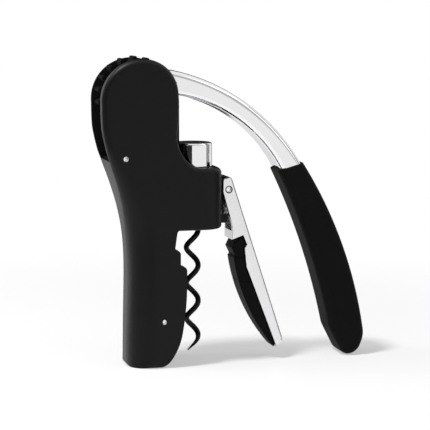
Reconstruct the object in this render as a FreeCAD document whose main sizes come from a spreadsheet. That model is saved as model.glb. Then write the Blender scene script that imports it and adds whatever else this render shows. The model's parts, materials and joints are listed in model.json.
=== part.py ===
import FreeCAD, Part
import Sketcher
import math
import os
import re

# Upright rack-and-lever corkscrew. Millimetres, +Z up, origin at the middle of the flat foot.
# +X points to the lever and the bottle side, the two body shells meet on the plane Y = 0.

sizes = {
    # side outline of the body
    "bodyHalfWidth": 17.5,
    "footFront": 6.9,
    "footBack": -9.2,
    "heelRound": 2.6,
    "backLowX": -8.35,
    "backLowZ": 52.0,
    "backMidX": -17.6,
    "backMidZ": 108.0,
    "backTopX": -24.1,
    "backTopZ": 137.5,
    "domeTopX": -1.0,
    "domeTopZ": 161.0,
    "domeFrontX": 17.0,
    "domeFrontZ": 143.0,
    "waistX": 16.4,
    "waistZ": 124.0,
    "riseX": 19.5,
    "riseZ": 110.1,
    "shoulderX": 24.5,
    "shoulderZ": 105.4,
    "shoulderEnd": 29.5,
    "blockTop": 104.2,
    "blockBottom": 72.0,
    "blockReach": 14.2,
    "wallTopX": 15.0,
    "stepOneX": 18.1,
    "stepOneZ": 63.0,
    "stepTwoX": 21.5,
    "stepTwoZ": 54.4,
    "stepRun": 1.2,
    "stepFall": 0.9,
    "stepRound": 2.6,
    "chinTop": 46.0,
    "chinX": 19.0,
    "chinZ": 17.9,
    "toeX": 13.2,
    "toeZ": 4.3,
    # roundings and walls of the body
    "rimRound": 3.2,
    "blockCorner": 12.0,
    "blockEdge": 1.6,
    "backRound": 14.0,
    "sideWall": 4.2,
    "backWall": 3.6,
    "slotBottom": 108.5,
    "coreHalfWidth": 9.0,
    "coreBottom": 4.0,
    "coreFront": 6.0,
    "coreTopX": -9.6,
    "coreTopZ": 96.0,
    # bottle neck recess and cork bore on the worm axis
    "wormX": 27.0,
    "recessRadius": 14.8,
    "boreRadius": 12.3,
    "boreFloor": 2.4,
    "boreLipRadius": 11.7,
    "neckPadThick": 1.4,
    "neckPadAngle": 42.0,
    "neckPadLow": 10.0,
    "neckPadHigh": 50.0,
    # lever pivot, gear and rack
    "pivotX": -3.9,
    "pivotZ": 142.2,
    "axleRadius": 4.0,
    "axleSeat": 2.4,
    "washerRadius": 7.5,
    "runningGap": 0.05,
    "gearModule": 2.0,
    "gearTeeth": 18,
    "pressureAngle": 20.0,
    "backlash": 0.3,
    "gearPhase": 11.3,
    "gearHalfWidth": 5.6,
    "gearBossRadius": 10.5,
    "gearPinRadius": 1.5,
    "gearPinCircle": 7.4,
    "rackRise": 9.4,
    "rackDrop": 67.5,
    "rackHalfWidth": 6.0,
    "rackWeb": 1.8,
    "rackSideWall": 1.4,
    "wingDrop": 3.2,
    "wingInset": 0.7,
    "wingThick": 2.0,
    "wingReach": 13.0,
    "railInner": 10.5,
    "railThick": 1.2,
    "railTop": 149.0,
    "slideGap": 0.1,
    # lever arm
    "hubRadius": 14.8,
    "armHalfWidth": 10.0,
    "cheek": 2.9,
    "crotchRadius": 36.5,
    "armRootX": 14.4,
    "armRootZ": 154.9,
    "armEndTopX": 85.6,
    "armEndTopZ": 105.3,
    "armTopRadius": 102.0,
    "armEndLowX": 70.6,
    "armEndLowZ": 103.1,
    "armLowX": 19.5,
    "armLowZ": 141.9,
    "armLowRadius": 87.0,
    "armHeelRise": -1.8,
    "armWeb": 3.2,
    "armRound": 2.4,
    "tangInset": 4.0,
    "tangEnd": 30.0,
    # grip
    "gripHalfWidth": 11.0,
    "gripRound": 5.0,
    "gripTopBackX": 86.2,
    "gripTopBackZ": 105.6,
    "gripTopFrontX": 69.1,
    "gripTopFrontZ": 102.7,
    "gripFrontX": 98.3,
    "gripFrontZ": 15.5,
    "gripFrontRadius": 390.0,
    "gripBackX": 121.4,
    "gripBackZ": 10.5,
    "gripBackRadius": 275.0,
    "gripTipX": 112.2,
    "gripTipZ": -3.85,
    "gripTipRound": 5.0,
    "gripCheekRound": 11.0,
    # worm, housing and nut
    "wormPitch": 19.0,
    "wormHelixRadius": 3.1,
    "wireRadius": 1.45,
    "wormCrest": 14.0,
    "wormTip": 5.8,
    "tipRadius": 0.3,
    "wormTurns": 4,
    "shankLength": 11.0,
    "housingRadius": 10.5,
    "housingTop": 116.8,
    "housingBottom": 87.0,
    "housingEdge": 1.2,
    "housingBore": 7.2,
    "capHeight": 3.0,
    "capBore": 5.1,
    "hubStemRadius": 4.93,
    "hubBore": 5.0,
    "hubFlangeRadius": 6.8,
    "hubFlange": 3.0,
    "thrustThick": 1.0,
    "thrustRadius": 7.1,
    "stemTop": 103.0,
    "rivetRadius": 1.25,
    "rivetReach": 1.3,
    "rivetLowZ": 95.5,
    "rivetHighZ": 108.05,
    "nutRadius": 12.15,
    "nutHeight": 9.6,
    "nutBack": 8.2,
    "nutClearance": 0.28,
    # cross pins of the body
    "pinRadius": 1.35,
    "upperPinX": -9.9,
    "upperPinZ": 110.1,
    "lowerPinX": 8.9,
    "lowerPinZ": 24.5,
    # neck clamp
    "clampReach": 17.9,
    "clampPinZ": 92.0,
    "clampPinRadius": 1.5,
    "clampHalfWidth": 8.5,
    "clampWall": 1.7,
    "clampRound": 0.6,
    "lugHalfWidth": 6.2,
    "lugEar": 2.4,
    "lugFront": 44.6,
    "lugEarRadius": 3.0,
    "lugLow": 74.2,
    "padHalfWidth": 8.0,
    "padRound": 1.0,
    "padRivetHighX": 50.0,
    "padRivetHighZ": 50.0,
    "padRivetLowX": 58.5,
    "padRivetLowZ": 28.0,
    "padRivetLength": 9.0,
    "springZ": 81.6,
    "springRadius": 2.6,
    "springWire": 0.35,
    "springLength": 8.2,
    "springCoils": 5,
}

doc = FreeCAD.newDocument("corkscrew")
sheet = doc.addObject("Spreadsheet::Sheet", "sizes")
for row, (alias, number) in enumerate(sizes.items(), start=1):
    sheet.set(f"A{row}", alias)
    sheet.set(f"B{row}", str(number))
    sheet.setAlias(f"B{row}", alias)
doc.recompute()


def cells(text):
    """An expression in which every size is written as its cell of the sheet."""
    return re.sub(r"[A-Za-z]\w*", lambda word: "sizes." + word[0] if word[0] in sizes else word[0], str(text))


def number(text):
    return float(sheet.evalExpression(cells(text)))


def bind(thing, **properties):
    for name, text in properties.items():
        thing.setExpression(name, cells(text))


def place(thing, x=0, y=0, z=0, rotation=None):
    """Put a piece at a point given by sizes, turned by a fixed rotation."""
    if rotation:
        thing.Placement = FreeCAD.Placement(FreeCAD.Vector(), rotation)
    for axis, text in (("x", x), ("y", y), ("z", z)):
        thing.setExpression("Placement.Base." + axis, cells(text))
    return thing


alongX = FreeCAD.Rotation(FreeCAD.Vector(0, 1, 0), 90)
alongY = FreeCAD.Rotation(FreeCAD.Vector(1, 0, 0), -90)


def vector(point):
    return FreeCAD.Vector(point[0], point[1], 0)


def drawPath(sketch, path):
    """Draw a closed path. A step is (x, y) for a line, (x, y, "smooth") for an arc that
    leaves the step before it without a corner, or (x, y, radius) for an arc of that radius,
    positive when it turns left."""
    points = [(number(step[0]), number(step[1])) for step in path]
    count = len(path)
    first = sketch.GeometryCount
    heading = None
    ends = []
    for i in range(count):
        a, b = points[i], points[(i + 1) % count]
        kind = path[(i + 1) % count][2] if len(path[(i + 1) % count]) > 2 else None
        chord = (b[0] - a[0], b[1] - a[1])
        length = math.hypot(*chord)
        lean = math.atan2(chord[1], chord[0])
        if kind is None:
            sketch.addGeometry(Part.LineSegment(vector(a), vector(b)), False)
            ends.append((1, 2))
            heading = lean
            continue
        if kind == "smooth":
            half = (lean - heading + math.pi) % (2 * math.pi) - math.pi
            radius = length / (2 * math.sin(half))
        else:
            radius = number(kind)
            half = math.asin(length / (2 * radius))
        middle = ((a[0] + b[0]) / 2, (a[1] + b[1]) / 2)
        rise = -length / 2 * math.tan(half / 2)
        normal = (-chord[1] / length, chord[0] / length)
        through = (middle[0] + normal[0] * rise, middle[1] + normal[1] * rise)
        sketch.addGeometry(Part.Arc(vector(a), vector(through), vector(b)), False)
        ends.append((1, 2) if radius > 0 else (2, 1))
        heading = lean + half
        if kind != "smooth":
            rule = sketch.addConstraint(Sketcher.Constraint("Radius", first + i, abs(radius)))
            sketch.setExpression(f"Constraints[{rule}]", cells(f"abs({kind})"))
    for i in range(count):
        after = (i + 1) % count
        kind = path[(after + 1) % count][2] if len(path[(after + 1) % count]) > 2 else None
        joint = "Tangent" if kind == "smooth" else "Coincident"
        sketch.addConstraint(
            Sketcher.Constraint(joint, first + i, ends[i][1], first + after, ends[after][0])
        )
    for i, step in enumerate(path):
        for axis, text, at in (("DistanceX", step[0], points[i][0]), ("DistanceY", step[1], points[i][1])):
            rule = sketch.addConstraint(Sketcher.Constraint(axis, first + i, ends[i][0], at))
            sketch.setExpression(f"Constraints[{rule}]", cells(text))


class Piece:
    """A sub-part made as one body of sketches and features."""

    def __init__(self, label):
        self.body = doc.addObject("PartDesign::Body", label)
        self.body.Label = label
        self.label = label
        self.count = 0

    def sketch(self, plane, lift=0):
        self.count += 1
        sketch = self.body.newObject("Sketcher::SketchObject", f"{self.label}_sketch{self.count}")
        origin = next(f for f in self.body.Origin.OriginFeatures if f.Role == plane + "_Plane")
        sketch.AttachmentSupport = [(origin, "")]
        sketch.MapMode = "FlatFace"
        sketch.setExpression("AttachmentOffset.Base.z", cells(lift))
        return sketch

    def outline(self, plane, *paths, lift=0):
        sketch = self.sketch(plane, lift)
        for path in paths:
            drawPath(sketch, path)
        return sketch

    def circle(self, plane, x, y, radius, lift=0):
        sketch = self.sketch(plane, lift)
        sketch.addGeometry(Part.Circle(vector((number(x), number(y))), FreeCAD.Vector(0, 0, 1), number(radius)))
        for rule, text in (("Radius", radius), ("DistanceX", x), ("DistanceY", y)):
            where = (0, number(text)) if rule == "Radius" else (0, 3, number(text))
            index = sketch.addConstraint(Sketcher.Constraint(rule, *where))
            sketch.setExpression(f"Constraints[{index}]", cells(text))
        return sketch

    def feature(self, kind, sketch, length, both=False, back=False):
        """Pad or Pocket along the sketch's normal, against it with back, or both ways."""
        name = f"{self.label}_{kind.lower()}{self.count}"
        before = self.volume
        feature = self.body.newObject("PartDesign::" + kind, name)
        feature.Profile = sketch
        if both:
            feature.SideType = "Symmetric"
        feature.Reversed = back
        bind(feature, Length=length)
        doc.recompute()
        grown = feature.Shape.Volume - before
        if abs(grown) < 1e-3 or (grown > 0) != (kind == "Pad"):
            raise RuntimeError(f"{name} changed the volume by {grown:.4f}")
        return feature

    @property
    def volume(self):
        tip = self.body.Tip
        return tip.Shape.Volume if tip and not tip.Shape.isNull() and self.body.Shape.Solids else 0.0

    def pad(self, sketch, length, both=False, back=False):
        return self.feature("Pad", sketch, length, both, back)

    def pocket(self, sketch, length, both=False, back=False):
        return self.feature("Pocket", sketch, length, both, back)

    def round(self, radius, wanted):
        """Fillet the edges whose middle point passes the test."""
        tip = self.body.Tip
        names = []
        for index, edge in enumerate(tip.Shape.Edges, start=1):
            middle = edge.valueAt((edge.FirstParameter + edge.LastParameter) / 2)
            if wanted(middle, edge):
                names.append(f"Edge{index}")
        self.count += 1
        fillet = self.body.newObject("PartDesign::Fillet", f"{self.label}_fillet{self.count}")
        fillet.Base = (tip, names)
        bind(fillet, Radius=radius)
        doc.recompute()
        if "Invalid" in fillet.State or "Error" in fillet.State or fillet.Shape.isNull():
            raise RuntimeError(f"{self.label}: fillet of {names} failed")
        return fillet


def near(a, b, slack=0.05):
    return abs(a - b) < slack


def cylinder(name, radius, length, x, y, z, rotation=None):
    piece = doc.addObject("Part::Cylinder", name)
    bind(piece, Radius=radius, Height=length)
    return place(piece, x, y, z, rotation)


def box(name, x, y, z, length, width, height):
    piece = doc.addObject("Part::Box", name)
    bind(piece, Length=length, Width=width, Height=height)
    return place(piece, x, y, z)


def cut(name, base, tool):
    piece = doc.addObject("Part::Cut", name)
    piece.Base, piece.Tool = base, tool
    return piece


def fuse(name, *parts):
    piece = doc.addObject("Part::MultiFuse", name)
    piece.Shapes = list(parts)
    return piece


def group(name, *parts):
    """Identical separate solids that share one node."""
    piece = doc.addObject("Part::Compound", name)
    piece.Links = list(parts)
    return piece


def named(piece, label):
    piece.Label = label
    nodes.append(piece)
    return piece


nodes = []
pitchRadius = "(gearModule * gearTeeth / 2)"
blockFront = "(wormX + blockReach)"
slotHalf = "(bodyHalfWidth - sideWall)"
nutFloor = "(blockBottom + boreFloor)"
rackTip = f"(pivotX + {pitchRadius} - gearModule)"
rackRoot = f"(pivotX + {pitchRadius} + 1.25 * gearModule)"
rackFront = f"({rackRoot} + rackWeb)"
wingBack = f"({rackTip} + wingInset)"
wingFront = f"({wingBack} + wingThick)"
rackLow = "(pivotZ - rackDrop)"
railBack = f"({wingBack} - slideGap - railThick)"
clampX = "(wormX + clampReach)"


def bodyOutline():
    stepFirst = "(stepOneZ - stepFall)"
    stepSecond = "(stepTwoZ - stepFall)"
    return [
        ("footFront", 0, "smooth"),
        ("footBack + heelRound", 0),
        ("footBack", "heelRound", "-heelRound"),
        ("backLowX", "backLowZ"),
        ("backMidX", "backMidZ", "smooth"),
        ("backTopX", "backTopZ", "smooth"),
        ("domeTopX", "domeTopZ", "smooth"),
        ("domeFrontX", "domeFrontZ", "smooth"),
        ("waistX", "waistZ", "smooth"),
        ("riseX", "riseZ", "smooth"),
        ("shoulderX", "shoulderZ", "smooth"),
        ("shoulderEnd", "blockTop", "smooth"),
        (blockFront, "blockTop"),
        (blockFront, "blockBottom"),
        ("wallTopX", "blockBottom"),
        ("wallTopX", "stepOneZ"),
        ("wallTopX + stepRun", stepFirst),
        ("stepOneX", f"{stepFirst} - stepRound", "-stepRound"),
        ("stepOneX", "stepTwoZ"),
        ("stepOneX + stepRun", stepSecond),
        ("stepTwoX", f"{stepSecond} - stepRound", "-stepRound"),
        ("stepTwoX", "chinTop"),
        ("chinX", "chinZ", "smooth"),
        ("toeX", "toeZ", "smooth"),
    ]


def rectangle(left, low, right, high):
    return [(left, low), (right, low), (right, high), (left, high)]


def shellSection(shell, height, x, radius):
    """A level cut through what lies outside the rounded back of the near shell."""
    side = "(0 - bodyHalfWidth - 0.02)"
    return shell.outline(
        "XY",
        [
            (f"{x} + {radius}", side),
            (x, f"{side} + {radius}", f"0 - {radius}"),
            (x, 2),
            (-70, 2),
            (-70, f"{side} - 5"),
            (f"{x} + {radius}", f"{side} - 5"),
        ],
        lift=height,
    )


def makeNearShell():
    shell = Piece("near_shell")
    side = -number("bodyHalfWidth")
    front = number(blockFront)
    top, bottom = number("blockTop"), number("blockBottom")
    shell.pad(shell.outline("XZ", bodyOutline()), "bodyHalfWidth")
    shell.round("blockCorner", lambda m, e: near(m.x, front) and near(m.y, side))
    shell.round("blockEdge", lambda m, e: near(m.z, bottom) and m.y < -0.1)

    def onRim(m, e):
        onSide = near(m.y, side) and m.z > number("heelRound") and (m.x < 0 or m.z > top - 1)
        onBlock = near(m.z, top) and m.y < -0.1
        return onSide or onBlock

    shell.round("rimRound", onRim)

    sections = [
        ("-1", "footBack + 0.2", "backRound"),
        ("backLowZ / 2", "(footBack + backLowX) / 2 + 0.2", "backRound"),
        ("backLowZ", "backLowX + 0.2", "backRound"),
        ("backLowZ + 24", "backLowX - 1.6", "backRound"),
        ("backLowZ + 43", "backLowX - 5.8", "0.72 * backRound"),
        ("backMidZ + 2", "backMidX - 0.9", "0.4 * backRound"),
        ("backMidZ + 12", "backMidX - 6.5", "0.3 * backRound"),
    ]
    sketches = [shellSection(shell, *section) for section in sections]
    before = shell.volume
    loft = shell.body.newObject("PartDesign::SubtractiveLoft", "near_shell_back")
    loft.Profile = sketches[0]
    loft.Sections = sketches[1:]
    doc.recompute()
    print("back rounding", before - loft.Shape.Volume)

    slot = [
        (-70, "slotBottom"),
        (railBack, "slotBottom"),
        (railBack, "blockTop"),
        (90, "blockTop"),
        (90, 220),
        (-70, 220),
    ]
    shell.pocket(shell.outline("XZ", slot), slotHalf, back=True)
    channel = rectangle(railBack, nutFloor, "(wormX - 9)", "(slotBottom + 1)")
    shell.pocket(shell.outline("XZ", channel), slotHalf, back=True)
    core = [
        ("footBack + backWall", "coreBottom"),
        ("coreFront", "coreBottom"),
        ("coreFront", "coreTopZ"),
        ("coreTopX", "coreTopZ"),
        ("backLowX + backWall", "backLowZ"),
    ]
    shell.pocket(shell.outline("XZ", core), "coreHalfWidth", back=True)

    shell.pocket(shell.circle("XY", "wormX", 0, "recessRadius", lift=-1), "blockBottom + 1", back=True)
    boreTop = f"blockTop - {nutFloor} + 1"
    shell.pocket(shell.circle("XY", "wormX", 0, "boreRadius", lift=nutFloor), boreTop, back=True)
    lip = shell.circle("XY", "wormX", 0, "boreLipRadius", lift="blockBottom - 1")
    shell.pocket(lip, "boreFloor + 2", back=True)
    outer, inner = "(recessRadius + neckPadThick)", "(recessRadius - 1)"
    seat = [
        (f"wormX - {inner}", 0, f"0 - {inner}"),
        (f"wormX - {outer}", 0),
        (f"wormX - {outer} * cos(neckPadAngle)", f"0 - {outer} * sin(neckPadAngle)", outer),
        (f"wormX - {inner} * cos(neckPadAngle)", f"0 - {inner} * sin(neckPadAngle)"),
    ]
    shell.pocket(shell.outline("XY", seat, lift="neckPadLow"), "neckPadHigh - neckPadLow", back=True)

    railOuter = f"(0 - {slotHalf} - 0.4)"
    railInner = "(0 - railInner)"
    rails = [
        rectangle(railBack, railOuter, f"{railBack} + railThick", railInner),
        rectangle(f"{wingFront} + slideGap", railOuter, f"{wingFront} + slideGap + railThick", railInner),
    ]
    shell.pad(shell.outline("XY", *rails, lift=nutFloor), f"railTop - {nutFloor}")
    ear = [
        (f"{blockFront} - 1", "lugLow"),
        ("lugFront - 1.5", "lugLow"),
        ("lugFront", "lugLow + 1.5", 1.5),
        (f"{clampX} + lugEarRadius", "clampPinZ"),
        (clampX, "clampPinZ + lugEarRadius", "lugEarRadius"),
        (f"{blockFront} - 1", "clampPinZ + lugEarRadius"),
    ]
    ear = shell.outline("XZ", ear, lift="lugHalfWidth - lugEar")
    shell.pad(ear, "lugEar")
    window = rectangle(f"{blockFront} + 1.4", "springZ - 3", 70, "springZ + 3")
    shell.pocket(shell.outline("XZ", window), "lugHalfWidth + 0.5", back=True)

    seatDepth = f"{slotHalf} + axleSeat"
    shell.pocket(shell.circle("XZ", "pivotX", "pivotZ", "axleRadius"), seatDepth, back=True)
    for x, z, radius in (
        ("upperPinX", "upperPinZ", "pinRadius"),
        ("lowerPinX", "lowerPinZ", "pinRadius"),
        (clampX, "clampPinZ", "clampPinRadius"),
    ):
        shell.pocket(shell.circle("XZ", x, z, radius), "bodyHalfWidth + 1", back=True)
    return shell.body


def mirrored(source, name):
    piece = doc.addObject("Part::Mirroring", name)
    piece.Source = source
    piece.Normal = FreeCAD.Vector(0, 1, 0)
    return piece


def makeNeckPad():
    pad = Piece("neck_pad")
    outer, inner = "(recessRadius + neckPadThick)", "recessRadius"
    ring = [
        (f"wormX - {outer} * cos(neckPadAngle)", f"{outer} * sin(neckPadAngle)"),
        (f"wormX - {outer} * cos(neckPadAngle)", f"0 - {outer} * sin(neckPadAngle)", outer),
        (f"wormX - {inner} * cos(neckPadAngle)", f"0 - {inner} * sin(neckPadAngle)"),
        (f"wormX - {inner} * cos(neckPadAngle)", f"{inner} * sin(neckPadAngle)", f"0 - {inner}"),
    ]
    pad.pad(pad.outline("XY", ring, lift="neckPadLow"), "neckPadHigh - neckPadLow")
    return pad.body


def makeLeverArm():
    arm = Piece("lever_arm")
    profile = [
        ("pivotX", "pivotZ"),
        ("pivotX + hubRadius * cos(83)", "pivotZ + hubRadius * sin(83)"),
        ("armRootX", "armRootZ"),
        ("armEndTopX", "armEndTopZ", "0 - armTopRadius"),
        ("armEndLowX", "armEndLowZ"),
        ("armLowX", "armLowZ", "armLowRadius"),
        ("pivotX + hubRadius * cos(7)", "pivotZ + armHeelRise"),
    ]
    arm.pad(arm.outline("XZ", profile), "2 * armHalfWidth", both=True)
    arm.round("armRound", lambda m, e: e.Length > 60 and m.z > number("armLowZ") - 9)
    arm.pad(arm.circle("XZ", "pivotX", "pivotZ", "hubRadius"), "2 * armHalfWidth", both=True)
    gap = "2 * (armHalfWidth - cheek)"
    arm.pocket(arm.circle("XZ", "pivotX", "pivotZ", "crotchRadius"), gap, both=True)
    hollow = [
        ("armRootX - 0.17 * armWeb", "armRootZ - 0.99 * armWeb"),
        ("armEndTopX - 0.87 * armWeb", "armEndTopZ - 0.5 * armWeb", "0 - (armTopRadius - armWeb)"),
        ("armEndLowX - 5", "armEndLowZ - 3"),
        ("armLowX", "armLowZ - 8", "armLowRadius"),
    ]
    arm.pocket(arm.outline("XZ", hollow), gap, both=True)
    tang = [
        ("armEndTopX - tangInset - 4", "armEndTopZ + 7"),
        ("armEndTopX - tangInset", "armEndTopZ"),
        ("gripBackX - tangInset - 2", "tangEnd", "0 - gripBackRadius"),
        ("gripFrontX + tangInset + 2", "tangEnd"),
        ("armEndLowX + tangInset", "armEndLowZ", "gripFrontRadius"),
        ("armEndLowX - 1", "armEndLowZ + 8"),
    ]
    arm.pad(arm.outline("XZ", tang), gap, both=True)
    arm.pocket(arm.circle("XZ", "pivotX", "pivotZ", "axleRadius + runningGap"), "2 * armHalfWidth + 2", both=True)
    for rise in ("gearPinCircle", "0 - gearPinCircle"):
        hole = arm.circle("XZ", "pivotX", f"pivotZ + {rise}", "gearPinRadius")
        arm.pocket(hole, "2 * armHalfWidth + 2", both=True)
    return arm.body


def toothPath():
    """One involute tooth, centred on the phase angle, with its foot sunk into the root disc."""
    module, teeth = number("gearModule"), number("gearTeeth")
    pressure, phase = math.radians(number("pressureAngle")), math.radians(number("gearPhase"))
    pitch = module * teeth / 2
    base, tip, foot = pitch * math.cos(pressure), pitch + module, pitch - 1.25 * module - 0.4

    def involute(angle):
        return math.tan(angle) - angle

    def flank(radius):
        angle = math.acos(min(1.0, base / radius))
        half = (math.pi * module / 2 - number("backlash") / 2) / (2 * pitch)
        return half + involute(pressure) - involute(angle)

    def at(radius, angle):
        return radius * math.cos(angle), radius * math.sin(angle)

    low, mid, high = (at(r, -flank(r)) for r in (base, (base + tip) / 2, tip))
    bend = Part.Arc(vector(low), vector(mid), vector(high)).toShape().Curve.Radius
    turn = (mid[0] - low[0]) * (high[1] - low[1]) - (mid[1] - low[1]) * (high[0] - low[0])
    bend = math.copysign(bend, turn)
    corners = [
        (foot, -flank(base), None),
        (base, -flank(base), None),
        (tip, -flank(tip), bend),
        (tip, flank(tip), tip),
        (base, flank(base), bend),
        (foot, flank(base), None),
    ]
    path = []
    for radius, angle, kind in corners:
        x, y = at(radius, angle + phase)
        step = (f"{x:.6f}", f"{y:.6f}")
        path.append(step if kind is None else step + (f"{kind:.6f}",))
    return path


def makeLeverGear():
    gear = Piece("lever_gear")
    gear.pad(gear.circle("XZ", 0, 0, f"{pitchRadius} - 1.25 * gearModule"), "2 * gearHalfWidth", both=True)
    tooth = gear.pad(gear.outline("XZ", toothPath()), "2 * gearHalfWidth", both=True)
    ring = gear.body.newObject("PartDesign::PolarPattern", "lever_gear_teeth")
    ring.Originals = [tooth]
    ring.Axis = (tooth.Profile[0], ["N_Axis"])
    ring.Angle = 360
    bind(ring, Occurrences="gearTeeth")
    gear.body.Tip = ring
    doc.recompute()
    gear.pad(gear.circle("XZ", 0, 0, "gearBossRadius"), "2 * (armHalfWidth - cheek)", both=True)
    gear.pocket(gear.circle("XZ", 0, 0, "axleRadius + runningGap"), "4 * armHalfWidth", both=True)
    for rise in ("gearPinCircle", "0 - gearPinCircle"):
        gear.pocket(gear.circle("XZ", 0, rise, "gearPinRadius"), "4 * armHalfWidth", both=True)
    place(gear.body, "pivotX", 0, "pivotZ")
    return gear.body


def makeGrip():
    grip = Piece("lever_grip")
    profile = [
        ("gripTopFrontX", "gripTopFrontZ", "gripFrontRadius"),
        ("gripTopBackX", "gripTopBackZ"),
        ("gripBackX", "gripBackZ", "0 - gripBackRadius"),
        ("gripTipX", "gripTipZ"),
        ("gripFrontX", "gripFrontZ"),
    ]
    grip.pad(grip.outline("XZ", profile), "2 * gripHalfWidth", both=True)
    tipZ, shoulder = number("gripTipZ"), number("gripFrontZ") + 1
    grip.round("gripCheekRound", lambda m, e: near(m.y, 0) and tipZ + 1 < m.z < shoulder)
    grip.round("gripTipRound", lambda m, e: near(m.y, 0) and near(m.z, tipZ))
    half = number("gripHalfWidth")
    grip.round("gripRound", lambda m, e: near(abs(m.y), half))
    tang = [
        ("armEndTopX - tangInset", "armEndTopZ"),
        ("gripBackX - tangInset - 2", "tangEnd", "0 - gripBackRadius"),
        ("gripFrontX + tangInset + 2", "tangEnd"),
        ("armEndLowX + tangInset", "armEndLowZ", "gripFrontRadius"),
        ("armEndLowX + tangInset", "armEndLowZ + 6"),
    ]
    grip.pocket(grip.outline("XZ", tang), "2 * (armHalfWidth - cheek)", both=True)
    return grip.body


def makeRack():
    rack = Piece("rack_bar")
    width = "2 * rackHalfWidth"
    bar = rectangle(rackRoot, rackLow, rackFront, "pivotZ + rackRise")
    rack.pad(rack.outline("XZ", bar), width, both=True)
    tipHalf = "(pi * gearModule / 4 - backlash / 4 - gearModule * tan(pressureAngle))"
    rootHalf = "(pi * gearModule / 4 - backlash / 4 + 1.25 * gearModule * tan(pressureAngle))"
    crest = f"(pivotZ + {pitchRadius} * gearPhase * pi / 180 + pi * gearModule / 2)"
    tooth = [
        (rackTip, f"{crest} - {tipHalf}"),
        (rackRoot, f"{crest} - {rootHalf}"),
        (f"{rackRoot} + 0.5", f"{crest} - {rootHalf}"),
        (f"{rackRoot} + 0.5", f"{crest} + {rootHalf}"),
        (rackRoot, f"{crest} + {rootHalf}"),
        (rackTip, f"{crest} + {tipHalf}"),
    ]
    tooth = rack.pad(rack.outline("XZ", tooth), width, both=True)
    row = rack.body.newObject("PartDesign::LinearPattern", "rack_teeth")
    row.Originals = [tooth]
    row.Direction = (tooth.Profile[0], ["V_Axis"])
    row.Reversed = True
    row.Mode = "Spacing"
    bind(row, Offset="pi * gearModule", Occurrences="floor((rackRise + rackDrop) / (pi * gearModule))")
    rack.body.Tip = row
    doc.recompute()
    wing = [
        (wingBack, "rackHalfWidth"),
        (rackFront, "rackHalfWidth"),
        (rackFront, "rackHalfWidth + rackSideWall"),
        (wingFront, "rackHalfWidth + rackSideWall"),
        (wingFront, "wingReach"),
        (wingBack, "wingReach"),
    ]
    other = [(x, f"0 - ({y})") for x, y in wing]
    rack.pad(rack.outline("XY", wing, other, lift=rackLow), "rackDrop - wingDrop")
    return rack.body


def ring(name, outer, inner, height, z):
    """A flat ring round the worm axis."""
    rim = cylinder(name + "_rim", outer, height, "wormX", 0, z)
    eye = cylinder(name + "_eye", inner, f"{height} + 2", "wormX", 0, f"{z} - 1")
    return cut(name, rim, eye)


def coil(radius, pitch, start, end, wires):
    """Wire wound right-handed about Z, passing +X at height 0, with a radius at each end."""
    climb = FreeCAD.Vector(0, 2 * math.pi * radius, pitch)
    path = Part.makeLongHelix(pitch, end - start, radius, 0, False)
    path.rotate(FreeCAD.Vector(), FreeCAD.Vector(0, 0, 1), 360 * start / pitch)
    path.translate(FreeCAD.Vector(0, 0, start))
    sweep = Part.BRepOffsetAPI.MakePipeShell(path)
    sweep.setFrenetMode(True)
    for height, wire in zip((start, end), wires):
        turn = FreeCAD.Rotation(FreeCAD.Vector(0, 0, 1), 360 * height / pitch)
        centre = turn.multVec(FreeCAD.Vector(radius, 0, 0)) + FreeCAD.Vector(0, 0, height)
        sweep.add(Part.Wire(Part.makeCircle(wire, centre, turn.multVec(climb))))
    sweep.build()
    sweep.makeSolid()
    return sweep.shape()


def makeWorm():
    radius, wire = number("wormHelixRadius"), number("wireRadius")
    pitch, crest = number("wormPitch"), number("wormCrest")
    top = number("wormTurns") * pitch
    joint = FreeCAD.Vector(radius, 0, top)
    main = coil(radius, pitch, 0, top, (wire, wire))
    point = coil(radius, pitch, number("wormTip") - crest, 0, (number("tipRadius"), wire))
    shank = Part.makeCylinder(wire, number("shankLength"), joint)
    worm = doc.addObject("Part::Feature", "worm")
    worm.Shape = main.fuse([point, shank, Part.makeSphere(wire, joint)])
    return place(worm, "wormX", 0, "wormCrest")


def makeNut():
    disc = cylinder("nut_disc", "nutRadius", "nutHeight", "wormX", 0, nutFloor)
    flat = box("nut_flat", "wormX - 20", -20, f"{nutFloor} - 1", "20 - nutBack", 40, "nutHeight + 2")
    passage = doc.addObject("Part::Feature", "nut_passage")
    wire = number("wireRadius + nutClearance")
    low, high = number(f"{nutFloor} - 3 - wormCrest"), number(f"{nutFloor} + nutHeight + 3 - wormCrest")
    passage.Shape = coil(number("wormHelixRadius"), number("wormPitch"), low, high, (wire, wire))
    place(passage, "wormX", 0, "wormCrest")
    return cut("guide_nut", cut("nut_body", disc, flat), passage)


def rivetHoles(piece, x, length, heights):
    for z in heights:
        hole = piece.circle("YZ", 0, z, "rivetRadius", lift=x)
        piece.pocket(hole, length, back=True)


def makeHousing():
    housing = Piece("worm_housing")
    housing.pad(housing.circle("XY", "wormX", 0, "housingRadius", lift="housingBottom"),
                "housingTop - housingBottom")
    top, bottom = number("housingTop"), number("housingBottom")
    housing.round("housingEdge", lambda m, e: near(m.z, top))
    housing.round("0.5 * housingEdge", lambda m, e: near(m.z, bottom))
    back = rectangle("wormX - 20", -20, rackFront, 20)
    flat = housing.outline("XY", back, lift="housingBottom - 1")
    housing.pocket(flat, "housingTop - housingBottom + 2", back=True)
    housing.pocket(housing.circle("XY", "wormX", 0, "housingBore", lift="housingBottom - 1"),
                   "capHeight + 2 * thrustThick + hubFlange + 1", back=True)
    housing.pocket(housing.circle("XY", "wormX", 0, "hubBore", lift="housingBottom - 1"),
                   "stemTop - housingBottom + 2", back=True)
    rivetHoles(housing, rackRoot, "rackWeb + rivetReach", ("rivetLowZ", "rivetHighZ"))
    return housing.body


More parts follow.
